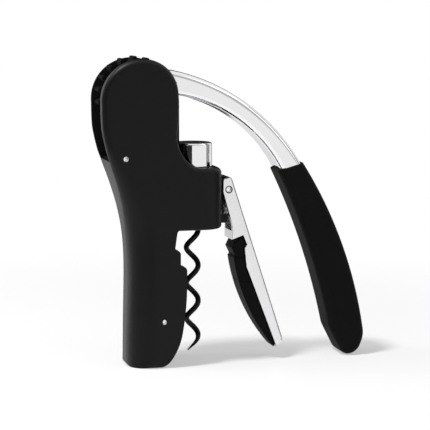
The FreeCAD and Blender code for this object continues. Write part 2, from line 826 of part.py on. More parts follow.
def makeHub():
    base = "(housingBottom + capHeight + thrustThick)"
    flange = cylinder("hub_flange", "hubFlangeRadius", "hubFlange", "wormX", 0, base)
    stem = cylinder("hub_stem", "hubStemRadius", f"stemTop - {base}", "wormX", 0, base)
    hole = cylinder("hub_hole", "wireRadius", "shankLength + 20", "wormX + wormHelixRadius", 0,
                    "wormCrest + wormTurns * wormPitch - 20")
    return cut("worm_hub", fuse("hub_solid", flange, stem), hole)


handleBack = [
    ("41.7", "97"), ("41.6", "90.8"), ("43.8", "84.8"), ("46.9", "74"), ("48.3", "72.3"),
    ("51.2", "72.2"), ("53.1", "67.9"),
]
handleSeat = [("54.9", "62.9"), ("54.6", "56.6"), ("55.2", "49.6"), ("57.8", "43"), ("63.9", "27.3"), ("70.2", "11.8")]
handleOuter = [
    ("70.7", "8.5"), ("74.3", "12.8"), ("72.6", "19.2"), ("67.8", "33.6"), ("64.5", "42.7"),
    ("55.3", "71.7"), ("53.3", "78.2"), ("50.7", "86.2"), ("48.3", "94.3"), ("46", "99.1"),
]
padFace = [
    ("70", "8.5"), ("67.3", "9.8"), ("62", "15.6"), ("56.7", "24.5"), ("51.7", "34.7"), ("49.8", "39.3"),
    ("47.4", "45"), ("44.2", "55.6"), ("44.9", "56.8"), ("43.3", "61.8"), ("46.9", "65.5"), ("51.2", "66.3"),
    ("53.1", "67.5"),
]


def makeHandle():
    handle = Piece("clamp_handle")
    outline = handleBack + handleSeat + handleOuter
    handle.pad(handle.outline("XZ", outline), "2 * clampHalfWidth", both=True)
    half = number("clampHalfWidth")
    handle.round("clampRound", lambda m, e: near(abs(m.y), half))
    inside = [("30", "66"), ("53.6", "70.6")]
    inside += [(f"{x} - 1.05 * clampWall", z) for x, z in handleOuter[5:8]]
    inside += [("60", "87"), ("60", "104"), ("30", "104")]
    handle.pocket(handle.outline("XZ", inside), "2 * (clampHalfWidth - clampWall)", both=True)
    handle.pocket(handle.circle("XZ", clampX, "clampPinZ", "clampPinRadius + runningGap"),
                  "4 * clampHalfWidth", both=True)
    for x, z in (("padRivetHighX", "padRivetHighZ"), ("padRivetLowX", "padRivetLowZ")):
        handle.pocket(handle.circle("YZ", 0, z, "rivetRadius", lift=x), "padRivetLength", back=True)
    return handle.body


def makeClampPad():
    pad = Piece("clamp_pad")
    outline = padFace + handleSeat
    pad.pad(pad.outline("XZ", outline), "2 * padHalfWidth", both=True)
    half = number("padHalfWidth")
    pad.round("padRound", lambda m, e: near(abs(m.y), half))
    for x, z in (("padRivetHighX", "padRivetHighZ"), ("padRivetLowX", "padRivetLowZ")):
        pad.pocket(pad.circle("YZ", 0, z, "rivetRadius", lift=x), "padRivetLength", back=True)
    return pad.body


def makeSpring():
    spring = doc.addObject("Part::Feature", "clamp_spring")
    wire, pitch = number("springWire"), number("springLength / springCoils")
    spring.Shape = coil(number("springRadius"), pitch, 0, number("springCoils") * pitch, (wire, wire))
    spring.Placement = FreeCAD.Placement(FreeCAD.Vector(), alongX)
    return place(spring, f"{blockFront} + springWire", 0, "springZ", alongX)


def crossPin(name, radius, half, x, z):
    return cylinder(name, radius, f"2 * ({half})", x, f"0 - ({half})", z, alongY)


def makeWashers():
    sides = []
    for name, start in (("near_washer", f"0 - {slotHalf}"), ("far_washer", "armHalfWidth")):
        disc = cylinder(name + "_disc", "washerRadius", f"{slotHalf} - armHalfWidth", "pivotX", start, "pivotZ", alongY)
        eye = cylinder(name + "_eye", "axleRadius", 60, "pivotX", -30, "pivotZ", alongY)
        sides.append(cut(name, disc, eye))
    return group("axle_washers", *sides)


def makeRivets(name, x, length, heights):
    rivets = []
    for at, z in zip(x, heights):
        rivets.append(cylinder(f"{name}_{len(rivets)}", "rivetRadius", length, at, 0, z, alongX))
    return group(name, *rivets)


nearShell = makeNearShell()
rack = makeRack()
rivetHeights = ("rivetLowZ", "rivetHighZ")
rackHoles = makeRivets("rack_holes", (f"{rackRoot} - 0.001",) * 2, "rackWeb + 1", rivetHeights)
thrustBase = "(housingBottom + capHeight)"
pinRises = ("gearPinCircle", "0 - gearPinCircle")
named(nearShell, "near_shell")
named(mirrored(nearShell, "far_shell_body"), "far_shell")
named(crossPin("upper_pin_rod", "pinRadius", "bodyHalfWidth", "upperPinX", "upperPinZ"), "upper_pin")
named(crossPin("lower_pin_rod", "pinRadius", "bodyHalfWidth", "lowerPinX", "lowerPinZ"), "lower_pin")
named(crossPin("axle_rod", "axleRadius", f"{slotHalf} + axleSeat", "pivotX", "pivotZ"), "lever_axle")
named(makeWashers(), "axle_washers")
named(makeNeckPad(), "neck_pad")
named(makeNut(), "guide_nut")
named(crossPin("clamp_hinge_rod", "clampPinRadius", "clampHalfWidth", clampX, "clampPinZ"), "clamp_hinge_pin")
named(makeSpring(), "clamp_spring")
named(makeLeverArm(), "lever_arm")
named(makeLeverGear(), "lever_gear")
gearPins = [
    crossPin(f"gear_pin_{i}", "gearPinRadius", "armHalfWidth", "pivotX", f"pivotZ + {rise}")
    for i, rise in enumerate(pinRises)
]
named(group("gear_pin_pair", *gearPins), "gear_pins")
named(makeGrip(), "lever_grip")
named(cut("rack_drilled", rack, rackHoles), "rack")
named(makeHousing(), "worm_housing")
named(makeRivets("housing_rivet_pair", (rackRoot,) * 2, "rackWeb + rivetReach", rivetHeights), "housing_rivets")
lowWasher = ring("low_thrust", "thrustRadius", "capBore", "thrustThick", thrustBase)
highWasher = ring("high_thrust", "thrustRadius", "capBore", "thrustThick", f"{thrustBase} + thrustThick + hubFlange")
named(group("thrust_pair", lowWasher, highWasher), "thrust_washers")
named(ring("cap_ring", "housingBore", "capBore", "capHeight", "housingBottom"), "housing_cap")
named(makeWorm(), "worm")
named(makeHub(), "worm_hub")
named(makeHandle(), "clamp_handle")
named(makeClampPad(), "clamp_pad")
padRivets = makeRivets("pad_rivet_pair", ("padRivetHighX", "padRivetLowX"), "padRivetLength",
                       ("padRivetHighZ", "padRivetLowZ"))
named(padRivets, "pad_rivets")

doc.recompute()
for item in doc.Objects:
    for state in ("Invalid", "Error"):
        if state in item.State:
            raise RuntimeError(f"{item.Name} is {state}")
for node in nodes:
    if node.Shape.isNull() or not node.Shape.isValid() or not node.Shape.Solids:
        raise RuntimeError(f"{node.Label} has no sound shape")
os.makedirs("parts", exist_ok=True)
for node in nodes:
    node.Shape.exportStep(f"parts/{node.Label}.step")
    print(node.Label, len(node.Shape.Solids), round(node.Shape.Volume, 1))
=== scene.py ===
import json
import math

import bmesh
import bpy
from mathutils import Matrix, Vector


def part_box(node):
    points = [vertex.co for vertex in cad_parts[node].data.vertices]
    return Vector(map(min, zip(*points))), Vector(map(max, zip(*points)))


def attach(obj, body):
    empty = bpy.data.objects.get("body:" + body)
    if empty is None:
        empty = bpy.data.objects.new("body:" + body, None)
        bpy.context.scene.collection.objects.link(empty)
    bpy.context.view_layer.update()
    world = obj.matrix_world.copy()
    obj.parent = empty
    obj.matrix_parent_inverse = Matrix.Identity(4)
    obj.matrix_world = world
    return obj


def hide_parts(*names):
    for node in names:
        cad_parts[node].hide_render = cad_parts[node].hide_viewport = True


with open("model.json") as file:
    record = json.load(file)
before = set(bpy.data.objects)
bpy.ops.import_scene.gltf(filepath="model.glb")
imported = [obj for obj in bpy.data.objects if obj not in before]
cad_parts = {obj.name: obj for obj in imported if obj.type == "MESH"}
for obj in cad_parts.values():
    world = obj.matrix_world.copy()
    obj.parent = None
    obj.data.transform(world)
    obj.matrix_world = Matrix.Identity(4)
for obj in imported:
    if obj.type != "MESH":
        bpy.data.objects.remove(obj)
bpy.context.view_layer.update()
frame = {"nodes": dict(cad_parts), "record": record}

mm = 0.001
nodes = frame["nodes"]
print("frame loaded:", len(nodes), "nodes")


# Shader maths

class Wire:
    # a shader socket that takes part in ordinary sums
    def __init__(self, finish, socket):
        self.finish = finish
        self.socket = socket

    def maths(self, operation, *values):
        return self.finish.node("Math", {"operation": operation}, dict(enumerate(values)))

    def __add__(self, other):
        return self.maths("ADD", self, other)

    __radd__ = __add__

    def __sub__(self, other):
        return self.maths("SUBTRACT", self, other)

    def __rsub__(self, other):
        return self.maths("SUBTRACT", other, self)

    def __mul__(self, other):
        return self.maths("MULTIPLY", self, other)

    __rmul__ = __mul__

    def __gt__(self, other):
        return self.maths("GREATER_THAN", self, other)


class Finish:
    # one material: its Principled shader and the nodes that feed it
    def __init__(self, name, **fixed):
        self.material = bpy.data.materials.new(name)
        self.material.use_nodes = True
        self.tree = self.material.node_tree
        self.shader = self.tree.nodes["Principled BSDF"]
        for socket, value in fixed.items():
            self.shader.inputs[socket.replace("_", " ")].default_value = value
        self.place = self.node("TexCoord", output="Object")

    def node(self, kind, settings=None, values=None, output=0):
        made = self.tree.nodes.new("ShaderNode" + kind)
        for key, value in (settings or {}).items():
            if key == "stops":
                self.fillRamp(made.color_ramp, value)
            else:
                setattr(made, key, value)
        for key, value in (values or {}).items():
            self.feed(made.inputs[key], value)
        return Wire(self, made.outputs[output])

    def fillRamp(self, ramp, stops):
        while len(ramp.elements) < len(stops):
            ramp.elements.new(1.0)
        for element, (position, colour) in zip(ramp.elements, stops):
            element.position = position
            element.color = (*colour, 1.0)

    def feed(self, socket, value):
        if isinstance(value, Wire):
            self.tree.links.new(value.socket, socket)
        else:
            socket.default_value = value

    def noise(self, scale, detail=2.0, stretch=(1, 1, 1)):
        where = self.node("Mapping", None, {"Vector": self.place, "Scale": stretch})
        return self.node("TexNoise", None, {"Vector": where, "Scale": scale, "Detail": detail})

    def blend(self, factor, low, high):
        stops = [(0.0, low), (1.0, high)]
        return self.node("ValToRGB", {"stops": stops}, {"Fac": factor})

    def bump(self, height, depth, strength=1.0):
        values = {"Height": height, "Distance": depth, "Strength": strength}
        self.set("Normal", self.node("Bump", None, values))

    def set(self, socket, value):
        self.feed(self.shader.inputs[socket], value)


def grey(value):
    return (value, value, value)


# Finishes

shellPaint = {
    "dark": 0.0028, "pale": 0.0048, "gloss": 0.15, "roughness": 0.42, "grain": 2400, "depth": 0.02 * mm,
}


def makeShellPaint():
    s = shellPaint
    finish = Finish("matt black shell", Specular_IOR_Level=s["gloss"])
    cloud = finish.noise(45, 3)
    grain = finish.noise(s["grain"], 1.5)
    finish.set("Base Color", finish.blend(cloud, grey(s["dark"]), grey(s["pale"])))
    finish.set("Roughness", s["roughness"] + 0.08 * (cloud - 0.5) + 0.06 * (grain - 0.5))
    finish.bump(grain, s["depth"])
    return finish.material


chromeFinish = {"tint": (0.83, 0.83, 0.84), "roughness": 0.07, "smudge": 0.05}


def makeChrome():
    s = chromeFinish
    finish = Finish("bright chrome", Metallic=1.0, Specular_Tint=(0.8, 0.8, 0.81, 1))
    smudge = finish.noise(60, 4)
    lines = finish.noise(900, 2, (0.05, 1, 1))
    finish.set("Base Color", finish.blend(smudge, tuple(0.96 * c for c in s["tint"]), s["tint"]))
    finish.set("Roughness", s["roughness"] + s["smudge"] * (smudge - 0.4) + 0.02 * lines)
    finish.bump(lines, 0.003 * mm)
    return finish.material


gripRubber = {
    "dark": 0.005, "pale": 0.008, "gloss": 0.03, "roughness": 0.6, "stipple": 1500, "depth": 0.03 * mm,
}


def makeGripRubber():
    s = gripRubber
    finish = Finish("soft grip rubber", Specular_IOR_Level=s["gloss"])
    cloud = finish.noise(30, 3)
    stipple = finish.noise(s["stipple"], 2)
    dust = finish.noise(420, 5) > 0.68
    finish.set("Base Color", finish.blend(cloud * 0.8 + dust * 0.2, grey(s["dark"]), grey(s["pale"])))
    finish.set("Roughness", s["roughness"] + 0.1 * (cloud - 0.5) + 0.08 * (stipple - 0.5))
    finish.bump(stipple, s["depth"])
    return finish.material


padRubber = {
    "dark": 0.0035, "pale": 0.006, "gloss": 0.05, "roughness": 0.62, "stipple": 1900, "depth": 0.025 * mm,
}


def makePadRubber():
    s = padRubber
    finish = Finish("matt pad rubber", Specular_IOR_Level=s["gloss"])
    cloud = finish.noise(90, 4)
    stipple = finish.noise(s["stipple"], 2)
    finish.set("Base Color", finish.blend(cloud, grey(s["dark"]), grey(s["pale"])))
    finish.set("Roughness", s["roughness"] + 0.1 * (cloud - 0.5))
    finish.bump(stipple, s["depth"])
    return finish.material


clampMetal = {"tint": (0.8, 0.8, 0.81), "roughness": 0.24, "grain": 1100}


def makeClampMetal():
    s = clampMetal
    finish = Finish("satin clamp metal", Metallic=1.0, Specular_Tint=(0.7, 0.7, 0.71, 1))
    cloud = finish.noise(70, 3)
    grain = finish.noise(s["grain"], 3)
    finish.set("Base Color", finish.blend(cloud, tuple(0.9 * c for c in s["tint"]), s["tint"]))
    finish.set("Roughness", s["roughness"] + 0.12 * (grain - 0.5) + 0.08 * (cloud - 0.5))
    finish.bump(grain, 0.006 * mm)
    return finish.material


darkSteel = {"dark": 0.003, "pale": 0.007, "gloss": 0.01, "roughness": 0.6}


def makeDarkSteel():
    s = darkSteel
    finish = Finish("blackened steel", Specular_IOR_Level=s["gloss"])
    cloud = finish.noise(150, 4)
    lines = finish.noise(1600, 2, (1, 0.06, 1))
    finish.set("Base Color", finish.blend(cloud, grey(s["dark"]), grey(s["pale"])))
    finish.set("Roughness", s["roughness"] + 0.2 * (lines - 0.5))
    finish.bump(lines, 0.005 * mm)
    return finish.material


pinSteel = {"tint": (0.85, 0.85, 0.86), "roughness": 0.3}


def makePinSteel():
    s = pinSteel
    finish = Finish("bright pin steel", Metallic=1.0)
    cloud = finish.noise(400, 3)
    finish.set("Base Color", finish.blend(cloud, tuple(0.85 * c for c in s["tint"]), s["tint"]))
    finish.set("Roughness", s["roughness"] + 0.15 * (cloud - 0.5))
    finish.bump(cloud, 0.004 * mm)
    return finish.material


wormCoat = {"dark": 0.003, "pale": 0.005, "gloss": 0.14, "roughness": 0.32}


def makeWormCoat():
    s = wormCoat
    finish = Finish("worm coating", Specular_IOR_Level=s["gloss"])
    cloud = finish.noise(160, 3)
    finish.set("Base Color", finish.blend(cloud, grey(s["dark"]), grey(s["pale"])))
    finish.set("Roughness", s["roughness"] + 0.12 * (cloud - 0.5))
    finish.bump(finish.noise(1300, 2), 0.01 * mm)
    return finish.material


darkPlastic = {"dark": 0.006, "pale": 0.01, "gloss": 0.2, "roughness": 0.42}


def makeDarkPlastic():
    s = darkPlastic
    finish = Finish("dark plastic", Specular_IOR_Level=s["gloss"])
    cloud = finish.noise(200, 2)
    finish.set("Base Color", finish.blend(cloud, grey(s["dark"]), grey(s["pale"])))
    finish.set("Roughness", s["roughness"] + 0.1 * (cloud - 0.5))
    finish.bump(finish.noise(1500, 2), 0.01 * mm)
    return finish.material


finishes = {
    "shell_black": makeShellPaint(),
    "chrome": makeChrome(),
    "grip_rubber": makeGripRubber(),
    "pad_rubber": makePadRubber(),
    "clamp_metal": makeClampMetal(),
    "dark_steel": makeDarkSteel(),
    "pin_steel": makePinSteel(),
    "worm_coat": makeWormCoat(),
    "nut_plastic": makeDarkPlastic(),
}
print("finishes made:", len(finishes))


# Pieces that stand for the frame's solids, merged and shaded smooth

slotOf = {part["node"]: part["material_slot"] for part in frame["record"]["subparts"]}
bodyOf = {
    name: body
    for body, members in frame["record"]["behaviour"]["bodies"].items()
    for name in members
}
smoothing = {"angle": 32, "merge": 0.002 * mm, "weight": 80}


def finishPiece(shape, node, angle=smoothing["angle"]):
    # a finished shape takes its node's place, finish and body
    mesh = bpy.data.meshes.new(node + "Smooth")
    shape.to_mesh(mesh)
    shape.free()
    mesh.shade_smooth()
    mesh.set_sharp_from_angle(angle=math.radians(angle))
    mesh.materials.append(finishes[slotOf[node]])
    piece = bpy.data.objects.new(node + "Smooth", mesh)
    bpy.context.scene.collection.objects.link(piece)
    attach(piece, bodyOf[node])
    weighted = piece.modifiers.new("Weighted normals", "WEIGHTED_NORMAL")
    weighted.keep_sharp = True
    weighted.weight = smoothing["weight"]
    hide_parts(node)
    return piece


def mergedCopy(node):
    shape = bmesh.new()
    shape.from_mesh(nodes[node].data)
    bmesh.ops.remove_doubles(shape, verts=shape.verts, dist=smoothing["merge"])
    return shape


def smoothCopy(node):
    shape = mergedCopy(node)
    bmesh.ops.dissolve_degenerate(shape, edges=shape.edges, dist=smoothing["merge"] / 4)
    return finishPiece(shape, node)


# Outlines and solids, in millimetres on the XZ plane

def arcPoints(start, end, radius, count):
    # a positive radius turns left on the way from start to end
    start, end = Vector(start), Vector(end)
    chord = end - start
    half = math.asin(chord.length / 2 / radius)
    across = Vector((-chord.y, chord.x)).normalized()
    centre = (start + end) / 2 + across * radius * math.cos(half)
    arm = start - centre
    return [centre + Matrix.Rotation(2 * half * k / count, 2) @ arm for k in range(1, count + 1)]


def outlinePoints(path, count=20):
    # a step is (x, z), or (x, z, radius) for an arc that ends there
    points = []
    for before, step in zip(path[-1:] + path[:-1], path):
        if len(step) == 3:
            points += arcPoints(before[:2], step[:2], step[2], count)
        else:
            points.append(Vector(step))
    return points


def slab(points, halfWidth):
    # the outline as a plate, centred on the middle plane
    shape = bmesh.new()
    face = shape.faces.new([shape.verts.new((x * mm, -halfWidth * mm, z * mm)) for x, z in points])
    grown = bmesh.ops.extrude_face_region(shape, geom=[face])
    far = [item for item in grown["geom"] if isinstance(item, bmesh.types.BMVert)]
    bmesh.ops.translate(shape, verts=far, vec=(0, 2 * halfWidth * mm, 0))
    bmesh.ops.recalc_face_normals(shape, faces=shape.faces)
    return shape


def middleOf(edge):
    return (edge.verts[0].co + edge.verts[1].co) / 2 / mm


def roundEdges(shape, wanted, reach, segments=4):
    edges = [edge for edge in shape.edges if wanted(middleOf(edge), edge)]
    bmesh.ops.bevel(
        shape, geom=edges, offset=reach * mm, offset_type="OFFSET", affect="EDGES",
        segments=segments, profile=0.5, material=-1,
    )


def roundCorner(shape, x, z, reach, segments=8):
    roundEdges(shape, lambda m, e: abs(m.y) < 0.01 and math.hypot(m.x - x, m.z - z) < 0.05, reach, segments)


def isRim(m, halfWidth):
    return abs(abs(m.y) - halfWidth) < 0.01


def drum(x, z, radius, halfWidth, segments=72):
    shape = bmesh.new()
    bmesh.ops.create_cone(
        shape, cap_ends=True, segments=segments, radius1=radius * mm, radius2=radius * mm,
        depth=2 * halfWidth * mm,
    )
    bmesh.ops.rotate(shape, verts=shape.verts, matrix=Matrix.Rotation(math.radians(90), 3, "X"))
    bmesh.ops.translate(shape, verts=shape.verts, vec=(x * mm, 0, z * mm))
    return shape


def asObject(shape, name):
    mesh = bpy.data.meshes.new(name)
    shape.to_mesh(mesh)
    shape.free()
    made = bpy.data.objects.new(name, mesh)
    bpy.context.scene.collection.objects.link(made)
    return made


def carved(shape, operation, tools):
    # the shape with each tool taken away from it or kept in common with it
    body = asObject(shape, "body")
    helpers = [body]
    for tool in tools:
        helper = asObject(tool, "tool")
        helpers.append(helper)
        cut = body.modifiers.new("cut", "BOOLEAN")
        cut.object = helper
        cut.operation = operation
        cut.solver = "EXACT"
    graph = bpy.context.evaluated_depsgraph_get()
    result = bmesh.new()
    done = body.evaluated_get(graph).to_mesh()
    result.from_mesh(done)
    body.evaluated_get(graph).to_mesh_clear()
    for helper in helpers:
        bpy.data.objects.remove(helper)
    bmesh.ops.remove_doubles(result, verts=result.verts, dist=smoothing["merge"])
    return result


def halfWidthOf(node):
    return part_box(node)[1][1] / mm


# Lever arm: a curved bar, hollow towards the gear, that ends inside the grip

leverArm = {
    "pivot": (-3.9, 142.2),
    "hubRadius": 14.8,
    "crown": (-2.1, 156.9),
    "root": (14.7, 155.0),
    "endTop": (84.4, 105.07),
    "topRadius": 108.1,
    "tangBack": (87.2, 98.9),
    "tangFront": (76.6, 96.2),
    "endLow": (73.2, 101.9),
    "low": (17.0, 141.8),
    "lowRadius": 77.2,
    "heel": (10.8, 140.4),
    "edge": 3.2,
    "edgeFrom": 6.0,
    "cheek": 2.9,
    "crotchRadius": 33.0,
    "bore": 4.1,
}


def makeLeverArm():
    s = leverArm
    half = halfWidthOf("lever_arm")
    path = [
        s["pivot"], s["crown"], s["root"], (*s["endTop"], -s["topRadius"]),
        s["tangBack"], s["tangFront"], s["endLow"], (*s["low"], s["lowRadius"]), s["heel"],
    ]
    bar = slab(outlinePoints(path), half)
    roundEdges(bar, lambda m, e: isRim(m, half) and m.x > s["edgeFrom"], s["edge"], 6)
    hub = drum(*s["pivot"], s["hubRadius"], half, 96)
    joined = carved(bar, "UNION", [hub])
    gap = half - s["cheek"]
    tools = [drum(*s["pivot"], s["crotchRadius"], gap), drum(*s["pivot"], s["bore"], half + 1)]
    return finishPiece(carved(joined, "DIFFERENCE", tools), "lever_arm")


# Grip: soft black, square at the top where it meets the arm and round all over below

grip = {
    "topFront": (71.8, 101.5),
    "topBack": (85.83, 105.47),
    "aboveFront": (65.7, 114.1),
    "aboveBack": (78.4, 117.4),
    "back": (121.14, 10.5),
    "backRadius": 232.0,
    "heel": (117.6, 1.37),
    "toe": (109.4, -0.6),
    "front": (101.2, 15.5),
    "frontRadius": 367.0,
    "edge": 4.7,
    "cornerReach": {"front": 1.4, "toe": 4.1, "heel": 3.7, "back": 3.0},
    "seam": 0.4,
    "sharpAngle": 40,
}


def makeGrip():
    s = grip
    half = halfWidthOf("lever_grip")
    path = [
        s["aboveBack"], s["topBack"], (*s["back"], -s["backRadius"]), s["heel"], s["toe"], s["front"],
        (*s["topFront"], s["frontRadius"]), s["aboveFront"],
    ]
    body = slab(outlinePoints(path), half)
    for corner, reach in s["cornerReach"].items():
        roundCorner(body, *s[corner], reach, 10)
    roundEdges(body, lambda m, e: isRim(m, half), s["edge"], 9)
    front, back = (Vector((x * mm, 0, z * mm)) for x, z in (s["topFront"], s["topBack"]))
    upward = Vector((front.z - back.z, 0, back.x - front.x)).normalized()
    everything = body.verts[:] + body.edges[:] + body.faces[:]
    cut = bmesh.ops.bisect_plane(
        body, geom=everything, dist=1e-7, plane_co=front, plane_no=upward, clear_outer=True
    )
    rim = [item for item in cut["geom_cut"] if isinstance(item, bmesh.types.BMEdge)]
    bmesh.ops.contextual_create(body, geom=rim)
    bmesh.ops.recalc_face_normals(body, faces=body.faces)
    top = [edge for edge in body.edges if all(abs((v.co - front).dot(upward)) < 1e-6 for v in edge.verts)]
    bmesh.ops.bevel(
        body, geom=top, offset=s["seam"] * mm, offset_type="OFFSET", affect="EDGES", segments=2,
        profile=0.5, material=-1,
    )
    return finishPiece(body, "lever_grip", s["sharpAngle"])


# Clamp handle: a bright channel lever with its pad's seat on the bottle side

clampHandle = {
    "top": (46.6, 98.6),
    "cap": (41.7, 97.6),
    "bend": (41.7, 90.8),
    "neck": (43.2, 85.5),
    "waist": (46.4, 74.3),
    "lobeTop": (46.8, 72.0),
    "lobeLow": (46.8, 65.2),
    "lobeCrest": (52.8, 67.4),
    "seat": [(54.8, 62.6), (53.5, 60.5), (54.6, 50.5), (71.0, 7.6)],
    "end": (71.3, 6.4),
    "tip": (75.4, 9.6),
    "tipReach": 2.4,
    "topReach": 1.2,
    "capReach": 1.0,
    "outerEdge": 1.6,
    "innerEdge": 0.5,
    "wall": 1.7,
    "web": 1.9,
    "hollowFront": 20,
    "hollowLow": 66.5,
    "hollowTop": 70.6,
    "pin": (44.9, 92.0),
    "pinHole": 2.0,
}


def makeClampHandle():
    s = clampHandle
    half = halfWidthOf("clamp_handle")
    corners = ("top", "cap", "bend", "neck", "waist", "lobeTop", "lobeLow", "lobeCrest")
    path = [s[corner] for corner in corners] + s["seat"] + [s["end"], s["tip"]]
    body = slab(outlinePoints(path), half)
    roundCorner(body, *s["tip"], s["tipReach"])
    roundCorner(body, *s["top"], s["topReach"], 4)
    roundCorner(body, *s["cap"], s["capReach"], 4)
    slope = (s["tip"][0] - s["top"][0]) / (s["top"][1] - s["tip"][1])

    def backAt(z):
        return s["top"][0] + (s["top"][1] - z) * slope

    def isOuter(m, e):
        return isRim(m, half) and m.x > backAt(m.z) - 0.6

    def isInner(m, e):
        return isRim(m, half) and m.x < backAt(m.z) - 2.0 and e.calc_face_angle(0) > 1

    roundEdges(body, isOuter, s["outerEdge"], 5)
    roundEdges(body, isInner, s["innerEdge"], 3)
    above = s["top"][1] + 6  # clear of the handle's top
    inner = [
        (s["hollowFront"], s["hollowLow"]),
        (backAt(s["hollowTop"]) - s["web"], s["hollowTop"]),
        (backAt(above) - s["web"], above),
        (s["hollowFront"], above),
    ]
    tools = [slab(inner, half - s["wall"]), drum(*s["pin"], s["pinHole"], half + 1, 48)]
    return finishPiece(carved(body, "DIFFERENCE", tools), "clamp_handle")


# Clamp pad: black rubber with a lip under its knob and two lines across it

clampPad = {
    "tip": (70.2, 6.3),
    "belly": (48.0, 55.3),
    "bellyRadius": 98.0,
    "notch": (48.8, 56.4),
    "knob": (46.8, 60.6),
    "crown": (48.5, 64.0),
    "crest": (52.6, 66.6),
    "halfWidth": 7.4,
    "edge": 0.9,
    "grooves": [((48.2, 55.9), (54.0, 55.2)), ((50.0, 43.2), (58.0, 41.6))],
    "grooveWidth": 0.35,
    "grooveDepth": 0.4,
    "grooveLip": 0.06,
}


def makeClampPad():
    s = clampPad
    half = s["halfWidth"]
    path = [s["tip"], (*s["belly"], -s["bellyRadius"]), s["notch"], s["knob"], s["crown"], s["crest"]]
    path += clampHandle["seat"]
    body = slab(outlinePoints(path), half)
    roundEdges(body, lambda m, e: isRim(m, half), s["edge"], 4)
    for start, end in s["grooves"]:
        run = Vector((end[0] - start[0], 0, end[1] - start[1])).normalized()
        across = Vector((-run.z, 0, run.x))
        middle = Vector((start[0], 0, start[1]))
        for side in (-1, 1):
            at = (middle + across * side * s["grooveWidth"] / 2) * mm
            everything = body.verts[:] + body.edges[:] + body.faces[:]
            bmesh.ops.bisect_plane(body, geom=everything, dist=1e-7, plane_co=at, plane_no=across)
        body.normal_update()
        limit = s["grooveWidth"] / 2 + 0.01

        def inBand(face):
            return all(abs((v.co / mm - middle).dot(across)) < limit for v in face.verts)

        band = [face for face in body.faces if inBand(face)]
        bmesh.ops.inset_region(
            body, faces=band, thickness=s["grooveLip"] * mm, depth=-s["grooveDepth"] * mm,
            use_even_offset=True,
        )
    return finishPiece(body, "clamp_pad")


# Shells and their cross pins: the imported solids, eased onto the photographed outline

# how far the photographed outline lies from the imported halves, as (height, shift along X)
bodyFit = {
    "back": [(0, -1.2), (60, -1.15), (85, -1.2), (105, -2.0), (125, -1.4), (137, 0.0)],
    "front": [(0, -1.3), (62, -1.3), (71, 0.0), (106, 0.0), (116, -0.5), (145, -0.5), (158, 0.0)],
    "backFrom": 0.0,
    "backTo": -9.0,
    "frontFrom": 4.0,
    "frontTo": 12.0,
    "sharpAngle": 26,
}


def along(levels, height):
    for (low, start), (high, end) in zip(levels, levels[1:]):
        if height <= high:
            return start + (end - start) * max(0.0, height - low) / (high - low)
    return levels[-1][1]


def fitToBody(shape):
    s = bodyFit

    def share(x, start, end):
        part = min(1.0, max(0.0, (x - start) / (end - start)))
        return part * part * (3 - 2 * part)

    for v in shape.verts:
        x, y, z = v.co / mm
        behind = share(x, s["backFrom"], s["backTo"]) * along(s["back"], z)
        ahead = share(x, s["frontFrom"], s["frontTo"]) * along(s["front"], z)
        v.co.x += (behind + ahead) * mm


def makeShell(node):
    half = mergedCopy(node)
    fitToBody(half)
    return finishPiece(half, node, bodyFit["sharpAngle"])


def makePin(node):
    # a pin moves whole, by the shift at its middle
    pin = mergedCopy(node)
    middle = (Vector(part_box(node)[0]) + Vector(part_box(node)[1])) / 2
    mark = bmesh.new()
    place = mark.verts.new(middle)
    fitToBody(mark)
    bmesh.ops.translate(pin, verts=pin.verts, vec=place.co - middle)
    mark.free()
    return finishPiece(pin, node)


shells = ("near_shell", "far_shell")
pins = ("upper_pin", "lower_pin")
for node in shells:
    makeShell(node)
for node in pins:
    makePin(node)
makeLeverArm()
makeGrip()
makeClampHandle()
makeClampPad()
for node in nodes:
    if node not in shells + pins + ("lever_arm", "lever_grip", "clamp_handle", "clamp_pad"):
        smoothCopy(node)
print("pieces made")


# Camera

camera = {
    "azimuth": -13.5,
    "distance": 850 * mm,
    "height": 187 * mm,
    "focalPixels": 1619.4,
    "imagePixels": 430,
    "aimX": 27 * mm,
    "yaw": -0.815,
    "pitch": -7.304,
}


def makeCamera():
    s = camera
    turn = math.radians(s["azimuth"])
    lens = bpy.data.cameras.new("camera")
    lens.sensor_width = 36
    lens.sensor_fit = "HORIZONTAL"
    lens.lens = lens.sensor_width * s["focalPixels"] / s["imagePixels"]
    lens.clip_start = 0.01
    viewer = bpy.data.objects.new("camera", lens)
    bpy.context.scene.collection.objects.link(viewer)
    back = Vector((math.sin(turn), -math.cos(turn), 0)) * s["distance"]
    viewer.location = Vector((s["aimX"], 0, s["height"])) + back
    heading = Matrix.Rotation(turn + math.radians(s["yaw"]), 4, "Z")
    tilt = Matrix.Rotation(math.radians(90 + s["pitch"]), 4, "X")
    viewer.rotation_euler = (heading @ tilt).to_euler()
    bpy.context.scene.camera = viewer


makeCamera()


# Studio

studio = {
    "floorRadius": 4.0,
    "floor": 0.97,
    "nearGlow": 0.42,  # share of plain white where the shadow falls
    "fadeFrom": 0.13,
    "fadeTo": 0.42,
    "room": 0.32,
}


def seenDirectly(finish):
    # 1 for what the camera and reflections see, 0 for light that falls on surfaces
    camera = finish.node("LightPath", output="Is Camera Ray")
    glossy = finish.node("LightPath", output="Is Glossy Ray")
    return camera.maths("MAXIMUM", camera, glossy)


def addStage(name, shape, finish):
    mesh = bpy.data.meshes.new(name)
    shape.to_mesh(mesh)
    shape.free()
    piece = bpy.data.objects.new(name, mesh)
    bpy.context.scene.collection.objects.link(piece)
    piece.data.materials.append(finish.material)
    return piece


